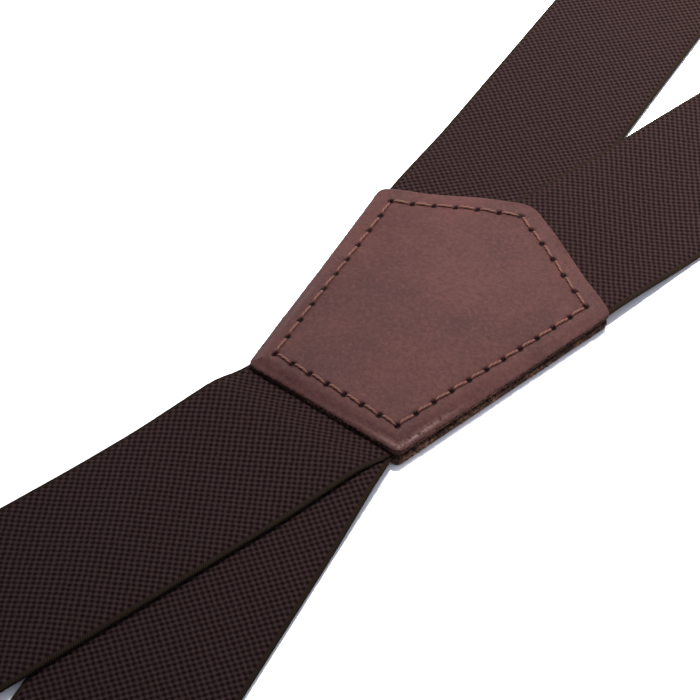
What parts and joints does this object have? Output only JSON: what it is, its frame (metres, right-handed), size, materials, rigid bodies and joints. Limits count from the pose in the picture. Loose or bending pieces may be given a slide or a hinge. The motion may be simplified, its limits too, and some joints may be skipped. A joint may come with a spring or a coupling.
{
  "type": "suspenders",
  "caption": "X-back elastic suspenders laid flat: woven straps crossing in a stitched leather patch, with flip-lever clips and cam adjusters.",
  "frame": {"origin": "under the middle of the leather patch, on the underside of its rear leather, which lies on the surface", "axes": "+Y up the wearer's back, from the back clips to the front clips; +Z out of the outer face of the leather patch, away from the surface; +X to the right seen from outside"},
  "size_m": [0.2692, 1.0448, 0.0101],
  "materials": {
    "leather": "matte oiled cowhide, reddish brown",
    "elastic": "woven elastic, dark brown",
    "thread": "waxed copper-brown thread",
    "dark_thread": "dark brown thread",
    "hardware": "nickel plated stamped steel",
    "pins": "drawn steel",
    "jaw_pad": "black moulded plastic"
  },
  "bodies": {
    "straps": {"patch_front_leather": "leather", "patch_rear_leather": "leather", "patch_front_thread": "thread", "patch_rear_thread": "thread", "strap_over": "elastic", "strap_under": "elastic", "back_hem_thread": "dark_thread", "adjuster_hem_thread": "dark_thread", "left_adjuster_frame": "hardware", "left_adjuster_pin": "pins", "right_adjuster_frame": "hardware", "right_adjuster_pin": "pins"},
    "back_left_clip": {"back_left_clip_base": "hardware", "back_left_clip_pad": "jaw_pad", "back_left_clip_pin": "pins"},
    "back_left_lever": {"back_left_clip_lever": "hardware"},
    "back_right_clip": {"back_right_clip_base": "hardware", "back_right_clip_pad": "jaw_pad", "back_right_clip_pin": "pins"},
    "back_right_lever": {"back_right_clip_lever": "hardware"},
    "front_right_clip": {"front_right_clip_base": "hardware", "front_right_clip_pad": "jaw_pad", "front_right_clip_pin": "pins"},
    "front_right_lever": {"front_right_clip_lever": "hardware"},
    "front_left_clip": {"front_left_clip_base": "hardware", "front_left_clip_pad": "jaw_pad", "front_left_clip_pin": "pins"},
    "front_left_lever": {"front_left_clip_lever": "hardware"},
    "left_adjuster_cam": {"left_adjuster_lever": "hardware"},
    "right_adjuster_cam": {"right_adjuster_lever": "hardware"}
  },
  "joints": [
    {"name": "back_left_clip_swing", "type": "hinge", "parent": "straps", "child": "back_left_clip", "pos_m": [-0.05334, -0.25528, 0.003], "axis": [-0.9744, 0.225, 0], "range_deg": [0, 110]},
    {"name": "back_left_lever_flip", "type": "hinge", "parent": "back_left_clip", "child": "back_left_lever", "pos_m": [-0.06189, -0.29231, 0.0056], "axis": [0.9744, -0.225, 0], "range_deg": [0, 100]},
    {"name": "back_right_clip_swing", "type": "hinge", "parent": "straps", "child": "back_right_clip", "pos_m": [0.04439, -0.25701, 0.003], "axis": [-0.981, -0.1942, 0], "range_deg": [0, 110]},
    {"name": "back_right_lever_flip", "type": "hinge", "parent": "back_right_clip", "child": "back_right_lever", "pos_m": [0.05177, -0.29429, 0.0056], "axis": [0.981, 0.1942, 0], "range_deg": [0, 100]},
    {"name": "front_right_clip_swing", "type": "hinge", "parent": "straps", "child": "front_right_clip", "pos_m": [0.12354, 0.68999, 0.003], "axis": [0.9857, -0.1685, 0], "range_deg": [0, 110]},
    {"name": "front_right_lever_flip", "type": "hinge", "parent": "front_right_clip", "child": "front_right_lever", "pos_m": [0.12995, 0.72745, 0.0056], "axis": [-0.9857, 0.1685, 0], "range_deg": [0, 100]},
    {"name": "front_left_clip_swing", "type": "hinge", "parent": "straps", "child": "front_left_clip", "pos_m": [-0.09666, 0.69417, 0.003], "axis": [0.9917, 0.1288, 0], "range_deg": [0, 110]},
    {"name": "front_left_lever_flip", "type": "hinge", "parent": "front_left_clip", "child": "front_left_lever", "pos_m": [-0.10155, 0.73185, 0.0056], "axis": [-0.9917, -0.1288, 0], "range_deg": [0, 100]},
    {"name": "left_adjuster_flip", "type": "hinge", "parent": "straps", "child": "left_adjuster_cam", "pos_m": [-0.07534, 0.53005, 0.0067], "axis": [0.9917, 0.1288, 0], "range_deg": [0, 95]},
    {"name": "right_adjuster_flip", "type": "hinge", "parent": "straps", "child": "right_adjuster_cam", "pos_m": [0.09566, 0.52686, 0.0067], "axis": [0.9857, -0.1685, 0], "range_deg": [0, 95]}
  ]
}
